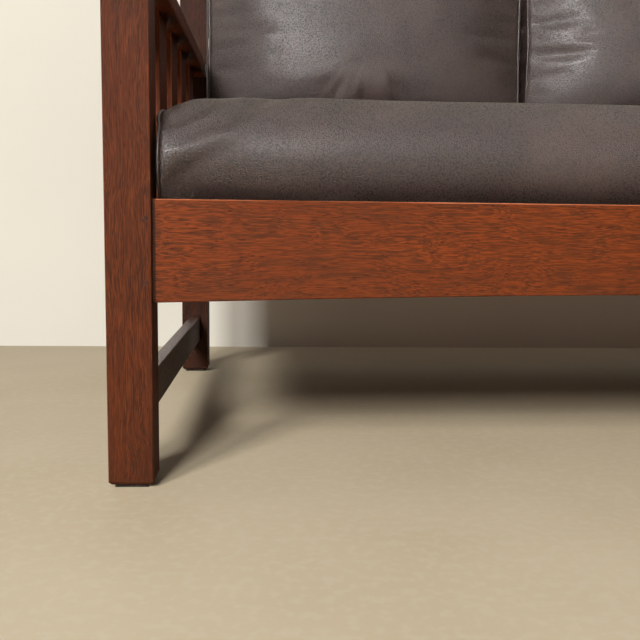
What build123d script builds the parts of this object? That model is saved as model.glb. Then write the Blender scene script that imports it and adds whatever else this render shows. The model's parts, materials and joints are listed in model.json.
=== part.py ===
from build123d import *
from math import cos, radians, sin
import os

# Mission settle in quarter-sawn oak: four square posts, an arched front seat rail, low side
# stretchers, slatted back and sides, flat arms, a webbed lift-out deck and loose leather cushions.
# Millimetres. The settle stands on the XY plane with its middle on the origin, and faces -Y.

# Overall frame
settle_length = 1930.0          # over the outer faces of the posts
settle_depth = 818.0            # front face of the front posts to back face of the rear posts
back_height = 940.0             # floor to the top of the rear posts
arm_top_height = 610.0
post_side = 51.0
pad_thickness = 4.0
pad_side = 38.0
arris = 1.0                     # easing along the long edges of posts, rails and slats
foot_chamfer = 3.5
post_top_chamfer = 6.0

# Seat rails and stretchers
rail_thickness = 19.0
rail_height = 116.0
rail_top_height = 329.0
rail_recess = 6.0               # the rails stand back this far from the faces of the posts
arch_rise = 15.0                # of the front rail's lower edge
stretcher_thickness = 19.0
stretcher_height = 49.0
stretcher_top_height = 113.0

# Tenons and the pegs that pin them
tenon_thickness = 10.0
tenon_shoulder = 12.0           # between a tenon and the edge of its rail
stretcher_shoulder = 6.0
long_tenon = 32.0               # on the front, rear and crest rails
short_tenon = 26.0              # on the side rails, stretchers and arms
mortise_relief = 1.0            # room for glue at the end of each tenon
peg_diameter = 7.0
peg_length = 34.0
peg_setback = 6.5               # peg to the inner edge of the post
peg_inset = 23.0                # peg to the edge of its rail

# Arms
arm_thickness = 25.0
arm_front_overhang = 30.0
arm_side_overhang = 36.0        # beyond the front post's outer face
arm_rear_overhang = 12.0        # beyond the rear post's outer face
arm_corner_radius = 14.0
arm_edge_radius = 3.0
arm_tenon_height = 15.0
post_tenon_side = 32.0          # the front post's tenon through the arm
post_tenon_stand = 5.0          # it stands proud of the arm
post_tenon_chamfer = 3.0

# Back and slats
crest_height = 116.0
crest_drop = 15.0               # post top to crest rail top
crest_edge_radius = 3.0
slat_width = 76.0
slat_thickness = 10.0
slat_housing = 12.0             # let into the rail or arm at each end
back_slat_count = 13
side_slat_count = 5

# Cleats that carry the deck
cleat_height = 25.0
cleat_bearing = 18.0            # under the deck
cleat_end_gap = 2.0
deck_clearance = 1.5            # between the deck and the rails and posts
screw_shank = 4.0
screw_head = 8.0
screw_bite = 12.0               # into the rail
screw_tip = 4.0
screw_end_distance = 60.0
long_cleat_screws = 6
side_cleat_screws = 3

# Deck: a loose hardwood frame with interlaced webbing
deck_bar_thickness = 20.0
deck_bar_width = 64.0
cross_bar_count = 3
cross_bar_drop = 6.0            # the cross bars lie below the webbing
deck_tenon_thickness = 8.0
deck_tenon_length = 22.0
web_width = 50.0
web_thickness = 1.6
web_gap = 0.2                   # between two webs where they cross
web_end_inset = 12.0
web_ramp_start = 5.0            # past the edge of the web that is crossed
lengthwise_web_count = 5
crosswise_web_count = 15

# Cushions
rest_clearance = 0.3            # round everything loose
cushion_sink = 20.0             # the seat cushion sits this far below the top of the rails
seat_cushion_thickness = 137.0
seat_crown = 7.0
nose_setback = 5.0              # bull nose to the front face of the rail
nose_height = 80.0              # underside to the foremost point of the nose
nose_run = 74.0                 # foremost point to the top of the nose
foot_setback = 44.0             # foremost point to where the underside lies flat
heel_radius = 16.0
back_seat_depth = 185.0         # flat stretch that the back cushions press on
seat_end_gap = 3.0              # cushion end to the post's inner face
seat_end_reach = 150.0          # stretch over which the crown falls to the end panel
seat_end_drop = 9.0
seat_end_inset = 4.0
back_cushion_count = 3
back_cushion_drop = 45.0        # top of the crest rail to the top of a back cushion
back_cushion_thickness = 150.0
back_cushion_gap = 2.0
side_pull = 7.0                 # how far the sides draw in between the corners

# Shares of the end reach, inset and drop from the end panel to the level middle of the seat
seat_end_shares = [(0.0, 1.0, 1.0), (0.05, 0.3, 0.72), (0.2, 0.0, 0.42), (0.5, 0.0, 0.14), (1.0, 0.0, 0.0)]
# Shares of the height, thickness and side pull up a back cushion
back_cushion_shares = [
    (0.0, 0.78, 0.0), (0.05, 0.90, 0.25), (0.2, 1.0, 0.7), (0.45, 0.97, 1.0),
    (0.7, 0.86, 0.8), (0.88, 0.70, 0.4), (0.97, 0.52, 0.1), (1.0, 0.36, 0.0),
]
boxing_share = 0.58             # the side panel's width, as a share of the thickness there

# Places worked out from the sizes above
half_length = settle_length / 2
inner_half = half_length - post_side
front_y = (arm_front_overhang - settle_depth) / 2
back_y = front_y + settle_depth
front_inner_y = front_y + post_side
back_inner_y = back_y - post_side
side_x = half_length - post_side / 2
rail_bottom = rail_top_height - rail_height
rail_front_y = front_y + rail_recess
rail_back_y = rail_front_y + rail_thickness
well_back_y = back_y - rail_recess - rail_thickness
front_rail_y = rail_front_y + rail_thickness / 2
rear_rail_y = well_back_y + rail_thickness / 2
stretcher_bottom = stretcher_top_height - stretcher_height
arm_bottom = arm_top_height - arm_thickness
crest_top = back_height - crest_drop
crest_bottom = crest_top - crest_height
web_stack = 2 * web_thickness + web_gap
cushion_bottom = rail_top_height - cushion_sink
deck_top = cushion_bottom - rest_clearance - web_stack
deck_bottom = deck_top - deck_bar_thickness
deck_half = inner_half - deck_clearance
deck_front = rail_back_y + deck_clearance
deck_back = well_back_y - deck_clearance

os.makedirs("parts", exist_ok=True)


def save(piece, label):
    piece.part.label = label
    export_step(piece.part, f"parts/{label}.step")


def block(x, y, z, mode=Mode.ADD):
    # A square block between the two values given along each axis
    with Locations((sum(x) / 2, sum(y) / 2, sum(z) / 2)):
        Box(abs(x[1] - x[0]), abs(y[1] - y[0]), abs(z[1] - z[0]), mode=mode)


def around(centre, width):
    return (centre - width / 2, centre + width / 2)


def spread(low, high, count):
    # Centres of equal pieces with equal gaps between low and high, the end gaps included
    return [low + (high - low) * (i + 1) / (count + 1) for i in range(count)]


def slat_centres(low, high, count):
    gap = (high - low - count * slat_width) / (count + 1)
    return [low + gap * (i + 1) + slat_width * (i + 0.5) for i in range(count)]


def mirrored(piece):
    # The right-hand twin of a left-hand piece
    with BuildPart() as twin:
        mirror(piece.part, about=Plane.YZ)
    return twin


# Pegs: each starts on a face of its post and runs through the tenon
rail_peg_heights = (rail_bottom + peg_inset, rail_top_height - peg_inset)
crest_peg_heights = (crest_bottom + peg_inset, crest_top - peg_inset)
stretcher_peg_height = stretcher_top_height - stretcher_height / 2
peg_planes = []
for side in (-1, 1):
    peg_x = side * (inner_half + peg_setback)
    for z in rail_peg_heights:
        peg_planes.append(Plane(origin=(peg_x, front_y, z), z_dir=(0, 1, 0)))
    for z in rail_peg_heights + crest_peg_heights:
        peg_planes.append(Plane(origin=(peg_x, back_y, z), z_dir=(0, -1, 0)))
    for y in (front_inner_y - peg_setback, back_inner_y + peg_setback):
        for z in rail_peg_heights + (stretcher_peg_height,):
            peg_planes.append(Plane(origin=(side * half_length, y, z), z_dir=(-side, 0, 0)))

with BuildPart() as joint_pegs:
    with Locations(*peg_planes):
        Cylinder(peg_diameter / 2, peg_length, align=(Align.CENTER, Align.CENTER, Align.MIN))
save(joint_pegs, "joint_pegs")


# Tenons, as the blocks that a rail gains and, a little longer, that a post loses
def long_rail_tenon(low, high, y, relief=0.0, mode=Mode.ADD):
    x = (-inner_half, -inner_half - long_tenon - relief)
    block(x, around(y, tenon_thickness), (low + tenon_shoulder, high - tenon_shoulder), mode)


def side_tenon(y, inward, low, high, shoulder, relief=0.0, mode=Mode.ADD):
    end = y + inward * (short_tenon + relief)
    block(around(-side_x, tenon_thickness), (y, end), (low + shoulder, high - shoulder), mode)


def arm_tenon_z():
    return around(arm_bottom + arm_thickness / 2, arm_tenon_height)


def cut_side_mortises(y, inward):
    side_tenon(y, inward, rail_bottom, rail_top_height, tenon_shoulder, mortise_relief, Mode.SUBTRACT)
    side_tenon(y, inward, stretcher_bottom, stretcher_top_height, stretcher_shoulder,
               mortise_relief, Mode.SUBTRACT)


# Posts
with BuildPart() as front_left_post:
    block((-half_length, -inner_half), (front_y, front_inner_y), (pad_thickness, arm_bottom))
    chamfer(front_left_post.faces().sort_by(Axis.Z)[0].edges(), foot_chamfer)
    chamfer(front_left_post.edges().filter_by(Axis.Z), arris)
    with BuildSketch(Plane.XY.offset(arm_bottom)):
        with Locations((-side_x, front_y + post_side / 2)):
            Rectangle(post_tenon_side, post_tenon_side)
    extrude(amount=arm_thickness + post_tenon_stand)
    chamfer(front_left_post.faces().sort_by(Axis.Z)[-1].edges(), post_tenon_chamfer)
    long_rail_tenon(rail_bottom, rail_top_height, front_rail_y, mortise_relief, Mode.SUBTRACT)
    cut_side_mortises(front_inner_y, -1)
    add(joint_pegs.part, mode=Mode.SUBTRACT)
save(front_left_post, "front_left_post")
save(mirrored(front_left_post), "front_right_post")

with BuildPart() as rear_left_post:
    block((-half_length, -inner_half), (back_inner_y, back_y), (pad_thickness, back_height))
    chamfer(rear_left_post.faces().sort_by(Axis.Z)[0].edges(), foot_chamfer)
    chamfer(rear_left_post.faces().sort_by(Axis.Z)[-1].edges(), post_top_chamfer)
    chamfer(rear_left_post.edges().filter_by(Axis.Z), arris)
    long_rail_tenon(rail_bottom, rail_top_height, rear_rail_y, mortise_relief, Mode.SUBTRACT)
    long_rail_tenon(crest_bottom, crest_top, rear_rail_y, mortise_relief, Mode.SUBTRACT)
    cut_side_mortises(back_inner_y, 1)
    block(around(-side_x, tenon_thickness), (back_inner_y, back_inner_y + short_tenon + mortise_relief),
          arm_tenon_z(), Mode.SUBTRACT)
    add(joint_pegs.part, mode=Mode.SUBTRACT)
save(rear_left_post, "rear_left_post")
save(mirrored(rear_left_post), "rear_right_post")

for end, y in (("front", front_y + post_side / 2), ("rear", back_y - post_side / 2)):
    for hand, x in (("left", -side_x), ("right", side_x)):
        with BuildPart() as floor_pad:
            block(around(x, pad_side), around(y, pad_side), (0, pad_thickness))
        save(floor_pad, f"{end}_{hand}_pad")

# Cleat screws: one screw, then a copy at each place
cleat_z = (deck_bottom - cleat_height, deck_bottom)
front_cleat_y = (rail_back_y, deck_front + cleat_bearing)
rear_cleat_y = (deck_back - cleat_bearing, well_back_y)
side_rail_inner = side_x - rail_thickness / 2
side_cleat_x = (-side_rail_inner, -deck_half + cleat_bearing)


def cleat_screw(cleat_width):
    length = cleat_width + screw_bite
    sink = (screw_head - screw_shank) / 2
    with BuildPart() as screw:
        with BuildSketch(Plane.XZ):
            with BuildLine():
                Polyline((0, 0), (screw_head / 2, 0), (screw_shank / 2, sink),
                         (screw_shank / 2, length - screw_tip), (0, length), close=True)
            make_face()
        revolve(axis=Axis.Z)
    return screw.part


screw_height = sum(cleat_z) / 2
side_screw_ends = (front_inner_y + screw_end_distance, back_inner_y - screw_end_distance)
long_screw_ends = (-inner_half + screw_end_distance, inner_half - screw_end_distance)


def even_steps(ends, count):
    return [ends[0] + (ends[1] - ends[0]) * i / (count - 1) for i in range(count)]


long_screw_planes = [
    Plane(origin=(x, y, screw_height), z_dir=(0, way, 0))
    for x in even_steps(long_screw_ends, long_cleat_screws)
    for y, way in ((front_cleat_y[1], -1), (rear_cleat_y[0], 1))
]
side_screw_planes = [
    Plane(origin=(side * -side_cleat_x[1], y, screw_height), z_dir=(side, 0, 0))
    for side in (-1, 1)
    for y in even_steps(side_screw_ends, side_cleat_screws)
]
with BuildPart() as cleat_screws:
    with Locations(*long_screw_planes):
        add(cleat_screw(front_cleat_y[1] - front_cleat_y[0]))
    with Locations(*side_screw_planes):
        add(cleat_screw(side_cleat_x[1] - side_cleat_x[0]))
save(cleat_screws, "cleat_screws")

# Front seat rail, arched below
with BuildPart() as front_seat_rail:
    with BuildSketch(Plane.XZ.offset(-rail_front_y)):
        with BuildLine():
            ThreePointArc((-inner_half, rail_bottom), (0, rail_bottom + arch_rise), (inner_half, rail_bottom))
            Polyline((inner_half, rail_bottom), (inner_half, rail_top_height),
                     (-inner_half, rail_top_height), (-inner_half, rail_bottom))
        make_face()
    extrude(amount=-rail_thickness)
    front_face = front_seat_rail.faces().sort_by(Axis.Y)[0]
    chamfer(front_face.edges().filter_by(Axis.Z, reverse=True), arris)
    long_rail_tenon(rail_bottom, rail_top_height, front_rail_y)
    mirror(about=Plane.YZ)
    add(joint_pegs.part, mode=Mode.SUBTRACT)
    add(cleat_screws.part, mode=Mode.SUBTRACT)
save(front_seat_rail, "front_seat_rail")

# Rear seat rail, which also takes the feet of the back slats
back_slat_x = slat_centres(-inner_half, inner_half, back_slat_count)
slat_y = around(rear_rail_y, slat_thickness)
with BuildPart() as rear_seat_rail:
    block((-inner_half, inner_half), (well_back_y, well_back_y + rail_thickness), (rail_bottom, rail_top_height))
    chamfer(rear_seat_rail.edges().filter_by(Axis.X), arris)
    long_rail_tenon(rail_bottom, rail_top_height, rear_rail_y)
    mirror(about=Plane.YZ)
    for x in back_slat_x:
        block(around(x, slat_width), slat_y, (rail_top_height - slat_housing, rail_top_height), Mode.SUBTRACT)
    add(joint_pegs.part, mode=Mode.SUBTRACT)
    add(cleat_screws.part, mode=Mode.SUBTRACT)
save(rear_seat_rail, "rear_seat_rail")

with BuildPart() as crest_rail:
    block((-inner_half, inner_half), (well_back_y, well_back_y + rail_thickness), (crest_bottom, crest_top))
    top_edges = crest_rail.faces().sort_by(Axis.Z)[-1].edges().filter_by(Axis.X)
    fillet(top_edges, crest_edge_radius)
    long_rail_tenon(crest_bottom, crest_top, rear_rail_y)
    mirror(about=Plane.YZ)
    for x in back_slat_x:
        block(around(x, slat_width), slat_y, (crest_bottom, crest_bottom + slat_housing), Mode.SUBTRACT)
    add(joint_pegs.part, mode=Mode.SUBTRACT)
save(crest_rail, "crest_rail")

for number, x in enumerate(back_slat_x, 1):
    with BuildPart() as back_slat:
        block(around(x, slat_width), slat_y, (rail_top_height - slat_housing, crest_bottom + slat_housing))
        chamfer(back_slat.edges().filter_by(Axis.Z), arris)
    save(back_slat, f"back_slat_{number}")

# Side seat rails and stretchers, on the middle line of the posts
side_slat_y = slat_centres(front_inner_y, back_inner_y, side_slat_count)
slat_x = around(-side_x, slat_thickness)
with BuildPart() as left_seat_rail:
    block(around(-side_x, rail_thickness), (front_inner_y, back_inner_y), (rail_bottom, rail_top_height))
    chamfer(left_seat_rail.edges().filter_by(Axis.Y), arris)
    side_tenon(front_inner_y, -1, rail_bottom, rail_top_height, tenon_shoulder)
    side_tenon(back_inner_y, 1, rail_bottom, rail_top_height, tenon_shoulder)
    for y in side_slat_y:
        block(slat_x, around(y, slat_width), (rail_top_height - slat_housing, rail_top_height), Mode.SUBTRACT)
    add(joint_pegs.part, mode=Mode.SUBTRACT)
    add(cleat_screws.part, mode=Mode.SUBTRACT)
save(left_seat_rail, "left_seat_rail")
save(mirrored(left_seat_rail), "right_seat_rail")

with BuildPart() as left_stretcher:
    block(around(-side_x, stretcher_thickness), (front_inner_y, back_inner_y),
          (stretcher_bottom, stretcher_top_height))
    chamfer(left_stretcher.edges().filter_by(Axis.Y), arris)
    side_tenon(front_inner_y, -1, stretcher_bottom, stretcher_top_height, stretcher_shoulder)
    side_tenon(back_inner_y, 1, stretcher_bottom, stretcher_top_height, stretcher_shoulder)
    add(joint_pegs.part, mode=Mode.SUBTRACT)
save(left_stretcher, "left_stretcher")
save(mirrored(left_stretcher), "right_stretcher")

# Arms: a straight inner edge, and an outer edge that tapers in towards the back
with BuildPart() as left_arm:
    with BuildSketch(Plane.XY.offset(arm_bottom)) as arm_plan:
        with BuildLine():
            Polyline((-inner_half, front_y - arm_front_overhang), (-inner_half, back_inner_y),
                     (-half_length - arm_rear_overhang, back_inner_y),
                     (-half_length - arm_side_overhang, front_y - arm_front_overhang), close=True)
        make_face()
        fillet(arm_plan.vertices().group_by(Axis.Y)[0], arm_corner_radius)
    extrude(amount=arm_thickness)
    rim = left_arm.faces().sort_by(Axis.Z)[-1].edges() + left_arm.faces().sort_by(Axis.Z)[0].edges()
    fillet(rim, arm_edge_radius)
    block(around(-side_x, tenon_thickness), (back_inner_y, back_inner_y + short_tenon), arm_tenon_z())
    block(around(-side_x, post_tenon_side), around(front_y + post_side / 2, post_tenon_side),
          (arm_bottom, arm_top_height), Mode.SUBTRACT)
    for y in side_slat_y:
        block(slat_x, around(y, slat_width), (arm_bottom, arm_bottom + slat_housing), Mode.SUBTRACT)
save(left_arm, "left_arm")
save(mirrored(left_arm), "right_arm")

for number, y in enumerate(side_slat_y, 1):
    with BuildPart() as left_slat:
        block(slat_x, around(y, slat_width), (rail_top_height - slat_housing, arm_bottom + slat_housing))
        chamfer(left_slat.edges().filter_by(Axis.Z), arris)
    save(left_slat, f"left_slat_{number}")
    save(mirrored(left_slat), f"right_slat_{number}")

# Cleats
for label, cleat_y in (("front_cleat", front_cleat_y), ("rear_cleat", rear_cleat_y)):
    with BuildPart() as long_cleat:
        block((-inner_half + cleat_end_gap, inner_half - cleat_end_gap), cleat_y, cleat_z)
        add(cleat_screws.part, mode=Mode.SUBTRACT)
    save(long_cleat, label)

with BuildPart() as left_cleat:
    block(side_cleat_x, (front_inner_y + cleat_end_gap, back_inner_y - cleat_end_gap), cleat_z)
    add(cleat_screws.part, mode=Mode.SUBTRACT)
save(left_cleat, "left_cleat")
save(mirrored(left_cleat), "right_cleat")

# Deck frame: two long bars, with end and cross bars tenoned between them
deck_inner_front = deck_front + deck_bar_width
deck_inner_back = deck_back - deck_bar_width
end_bar_x = deck_half - deck_bar_width / 2
cross_bar_x = spread(-deck_half + deck_bar_width, deck_half - deck_bar_width, cross_bar_count)
short_bars = [("deck_left_bar", -end_bar_x, 0), ("deck_right_bar", end_bar_x, 0)]
short_bars += [(f"deck_cross_bar_{i}", x, cross_bar_drop) for i, x in enumerate(cross_bar_x, 1)]


def short_bar_tenons(x, drop, relief=0.0, mode=Mode.ADD):
    middle = deck_bottom + (deck_bar_thickness - drop) / 2
    for y, way in ((deck_inner_front, -1), (deck_inner_back, 1)):
        block(around(x, deck_bar_width - 2 * cross_bar_drop), (y, y + way * (deck_tenon_length + relief)),
              around(middle, deck_tenon_thickness), mode)


for label, y in (("deck_front_bar", (deck_front, deck_inner_front)),
                 ("deck_rear_bar", (deck_inner_back, deck_back))):
    with BuildPart() as long_bar:
        block((-deck_half, deck_half), y, (deck_bottom, deck_top))
        for bar_label, x, drop in short_bars:
            short_bar_tenons(x, drop, mortise_relief, Mode.SUBTRACT)
    save(long_bar, label)

for label, x, drop in short_bars:
    with BuildPart() as short_bar:
        block(around(x, deck_bar_width), (deck_inner_front, deck_inner_back), (deck_bottom, deck_top - drop))
        short_bar_tenons(x, drop)
    save(short_bar, label)

# Webbing, laced over and under: at each crossing one web lies low and the other rides over it
lengthwise_y = spread(deck_inner_front, deck_inner_back, lengthwise_web_count)
crosswise_x = spread(-deck_half + deck_bar_width, deck_half - deck_bar_width, crosswise_web_count)


def web_outline(low, high, crossings, first_is_over):
    reach = web_width / 2 + web_ramp_start
    lower = [(low + web_end_inset, deck_top), (low + deck_bar_width, deck_top)]
    for i, centre in enumerate(crossings):
        over = (i + first_is_over) % 2
        height = deck_top + over * (web_thickness + web_gap)
        lower += [(centre - reach, height), (centre + reach, height)]
    lower += [(high - deck_bar_width, deck_top), (high - web_end_inset, deck_top)]
    upper = [(along, height + web_thickness) for along, height in reversed(lower)]
    return lower + upper


with BuildPart() as lengthwise_webbing:
    for j, y in enumerate(lengthwise_y):
        with BuildSketch(Plane.XZ.offset(-y)):
            with BuildLine():
                Polyline(*web_outline(-deck_half, deck_half, crosswise_x, j % 2), close=True)
            make_face()
        extrude(amount=web_width / 2, both=True)
save(lengthwise_webbing, "lengthwise_webbing")

with BuildPart() as crosswise_webbing:
    for i, x in enumerate(crosswise_x):
        with BuildSketch(Plane.YZ.offset(x)):
            with BuildLine():
                Polyline(*web_outline(deck_front, deck_back, lengthwise_y, (i + 1) % 2), close=True)
            make_face()
        extrude(amount=web_width / 2, both=True)
save(crosswise_webbing, "crosswise_webbing")

# Seat cushion: one long cushion with a bull nose over the rail, flat under the back cushions
nose_y = rail_front_y + nose_setback
cushion_back = well_back_y - rest_clearance
seat_top = cushion_bottom + seat_cushion_thickness
seat_half = inner_half - seat_end_gap
half_turn = radians(45)


def seat_section(x, inset, drop):
    front = nose_y + inset
    back = cushion_back - inset
    top = seat_top - inset - drop
    nose_z = cushion_bottom + nose_height
    flat_y = back - back_seat_depth
    nose_top_y = front + nose_run
    with BuildSketch(Plane.YZ.offset(x)) as section:
        with BuildLine():
            ThreePointArc(
                (front + foot_setback, cushion_bottom),
                (rail_back_y + rest_clearance + inset, rail_top_height + rest_clearance),
                (front, nose_z))
            ThreePointArc(
                (front, nose_z),
                (front + nose_run * (1 - cos(half_turn)), nose_z + (top - nose_z) * sin(half_turn)),
                (nose_top_y, top))
            ThreePointArc((nose_top_y, top), ((nose_top_y + flat_y) / 2, top + seat_crown), (flat_y, top))
            Line((flat_y, top), (back - heel_radius, top))
            ThreePointArc(
                (back - heel_radius, top),
                (back - heel_radius * (1 - cos(half_turn)), top - heel_radius * (1 - sin(half_turn))),
                (back, top - heel_radius))
            Line((back, top - heel_radius), (back, cushion_bottom + heel_radius))
            ThreePointArc(
                (back, cushion_bottom + heel_radius),
                (back - heel_radius * (1 - cos(half_turn)), cushion_bottom + heel_radius * (1 - sin(half_turn))),
                (back - heel_radius, cushion_bottom))
            Line((back - heel_radius, cushion_bottom), (front + foot_setback, cushion_bottom))
        make_face()
    return section.sketch


left_sections = [
    seat_section(-seat_half + reach * seat_end_reach, inset * seat_end_inset, drop * seat_end_drop)
    for reach, inset, drop in seat_end_shares
]
right_sections = [
    seat_section(seat_half - reach * seat_end_reach, inset * seat_end_inset, drop * seat_end_drop)
    for reach, inset, drop in reversed(seat_end_shares)
]
with BuildPart() as seat_cushion:
    loft(left_sections + right_sections, ruled=True)
save(seat_cushion, "seat_cushion")

# Back cushions: boxed, crowned to the front, with sides that draw in between the corners
back_cushion_width = (2 * seat_half - back_cushion_gap * (back_cushion_count - 1)) / back_cushion_count
back_cushion_base = seat_top + rest_clearance
back_cushion_height = crest_top - back_cushion_drop - back_cushion_base
back_cushion_names = ["left", "middle", "right"]


def back_section(centre, height, thickness, pull):
    half = back_cushion_width / 2 - pull
    boxing = thickness * boxing_share
    left, right = centre - half, centre + half
    with BuildSketch(Plane.XY.offset(back_cushion_base + height)) as section:
        with BuildLine():
            Line((left, cushion_back), (left, cushion_back - boxing))
            ThreePointArc((left, cushion_back - boxing), (centre, cushion_back - thickness),
                          (right, cushion_back - boxing))
            Polyline((right, cushion_back - boxing), (right, cushion_back), (left, cushion_back))
        make_face()
    return section.sketch


for i in range(back_cushion_count):
    centre = -seat_half + back_cushion_width / 2 + i * (back_cushion_width + back_cushion_gap)
    sections = [
        back_section(centre, height * back_cushion_height, thickness * back_cushion_thickness, pull * side_pull)
        for height, thickness, pull in back_cushion_shares
    ]
    with BuildPart() as back_cushion:
        loft(sections, ruled=True)
    save(back_cushion, f"back_cushion_{back_cushion_names[i]}")
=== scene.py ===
import json
import math
import bmesh
import bpy
import numpy as np
from mathutils import Matrix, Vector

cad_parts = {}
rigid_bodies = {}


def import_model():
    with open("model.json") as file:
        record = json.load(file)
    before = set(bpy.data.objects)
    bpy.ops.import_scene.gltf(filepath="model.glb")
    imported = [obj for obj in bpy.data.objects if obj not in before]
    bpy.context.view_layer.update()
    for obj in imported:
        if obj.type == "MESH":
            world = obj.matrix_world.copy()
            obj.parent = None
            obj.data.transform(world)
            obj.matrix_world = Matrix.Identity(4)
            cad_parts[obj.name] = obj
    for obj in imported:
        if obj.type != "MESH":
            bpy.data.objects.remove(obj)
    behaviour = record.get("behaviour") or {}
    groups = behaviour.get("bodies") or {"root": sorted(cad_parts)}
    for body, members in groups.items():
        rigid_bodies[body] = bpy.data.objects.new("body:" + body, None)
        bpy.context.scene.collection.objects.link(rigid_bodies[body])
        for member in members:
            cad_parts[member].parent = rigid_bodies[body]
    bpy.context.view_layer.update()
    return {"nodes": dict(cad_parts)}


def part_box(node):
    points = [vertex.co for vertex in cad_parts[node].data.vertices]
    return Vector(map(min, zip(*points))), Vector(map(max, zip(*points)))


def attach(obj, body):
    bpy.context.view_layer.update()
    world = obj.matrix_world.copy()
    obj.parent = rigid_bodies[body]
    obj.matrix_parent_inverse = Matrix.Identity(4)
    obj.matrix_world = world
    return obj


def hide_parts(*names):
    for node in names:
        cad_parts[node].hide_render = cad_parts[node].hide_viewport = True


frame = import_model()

# Mission settle: a long oak settle with leather cushions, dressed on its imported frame.
# Metres; the settle faces -Y and stands on the floor at Z = 0.

nodes = frame["nodes"]
scene = bpy.context.scene
scene.view_settings.view_transform = "Standard"


def linear(rgb):
    # an sRGB colour from 0 to 255 as the linear colour that a shader wants
    c = np.array(rgb, float) / 255
    c = np.where(c <= 0.04045, c / 12.92, ((c + 0.055) / 1.055) ** 2.4)
    return (float(c[0]), float(c[1]), float(c[2]), 1.0)


class Flow:
    # A node's output that can be used in a sum: each operator adds one Math node
    def __init__(self, finish, socket):
        self.finish = finish
        self.socket = socket

    def sum(self, operation, *values):
        return self.finish.node("ShaderNodeMath", {"operation": operation}, dict(enumerate(values)))

    def __add__(self, other): return self.sum("ADD", self, other)
    def __radd__(self, other): return self.sum("ADD", other, self)
    def __sub__(self, other): return self.sum("SUBTRACT", self, other)
    def __rsub__(self, other): return self.sum("SUBTRACT", other, self)
    def __mul__(self, other): return self.sum("MULTIPLY", self, other)
    def __rmul__(self, other): return self.sum("MULTIPLY", other, self)
    def __abs__(self): return self.sum("ABSOLUTE", self)

    def least(self, other): return self.sum("MINIMUM", self, other)
    def most(self, other): return self.sum("MAXIMUM", self, other)
    def wave(self): return self.sum("SINE", self)

    def step(self, low, high, start=0.0, end=1.0):
        # goes smoothly from start to end as the value goes from low to high
        return self.finish.node(
            "ShaderNodeMapRange", {"interpolation_type": "SMOOTHSTEP"},
            {"Value": self, "From Min": low, "From Max": high, "To Min": start, "To Max": end})


class Finish:
    # The nodes of one material, or of the tree that is given
    def __init__(self, name, tree=None):
        if tree is None:
            self.material = bpy.data.materials.new(name)
            self.material.use_nodes = True
            tree = self.material.node_tree
        self.tree = tree
        self.tree.nodes.clear()

    def node(self, kind, settings={}, inputs={}, output=0):
        made = self.tree.nodes.new(kind)
        for key, value in settings.items():
            setattr(made, key, value)
        for key, value in inputs.items():
            if isinstance(value, Flow):
                self.tree.links.new(value.socket, made.inputs[key])
            else:
                made.inputs[key].default_value = value
        return Flow(self, made.outputs[output]) if len(made.outputs) else None

    def place(self, shift=(0, 0, 0)):
        spot = self.node("ShaderNodeTexCoord", output=3)
        return self.node("ShaderNodeMapping", {}, {"Vector": spot, "Location": shift})

    def parts(self, vector):
        first = self.node("ShaderNodeSeparateXYZ", {}, {0: vector})
        return [Flow(self, socket) for socket in first.socket.node.outputs]

    def vector(self, x, y, z):
        return self.node("ShaderNodeCombineXYZ", {}, {0: x, 1: y, 2: z})

    def noise(self, vector, scale=1.0, detail=2.0, roughness=0.5):
        return self.node("ShaderNodeTexNoise", {}, {
            "Vector": vector, "Scale": scale, "Detail": detail, "Roughness": roughness})

    def figure(self, board, scales, detail, roughness=0.5):
        # noise stretched along a board, whose place is (grain, across, depth)
        grain, across, depth = board
        along, square = scales
        stretched = self.vector(grain * along, across * square, depth * square)
        return self.noise(stretched, 1.0, detail, roughness)

    def cells(self, vector, scale):
        inputs = {"Vector": vector, "Scale": scale}
        return self.node("ShaderNodeTexVoronoi", {"feature": "F1"}, inputs)

    def mix(self, share, first, second):
        inputs = {0: share, 6: first, 7: second}
        return self.node("ShaderNodeMix", {"data_type": "RGBA"}, inputs, output=2)

    def bump(self, height, distance, strength=1.0):
        inputs = {"Strength": strength, "Distance": distance, "Height": height}
        return self.node("ShaderNodeBump", {}, inputs)

    def surface(self, **sockets):
        # the surface shader, with its socket names written in camelCase
        inputs = {}
        for key, value in sockets.items():
            name = "".join(" " + letter if letter.isupper() else letter for letter in key)
            inputs[name.title().replace("Ior", "IOR")] = value
        shader = self.node("ShaderNodeBsdfPrincipled", {}, inputs)
        self.node("ShaderNodeOutputMaterial", {}, {"Surface": shader})
        return self.material


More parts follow.
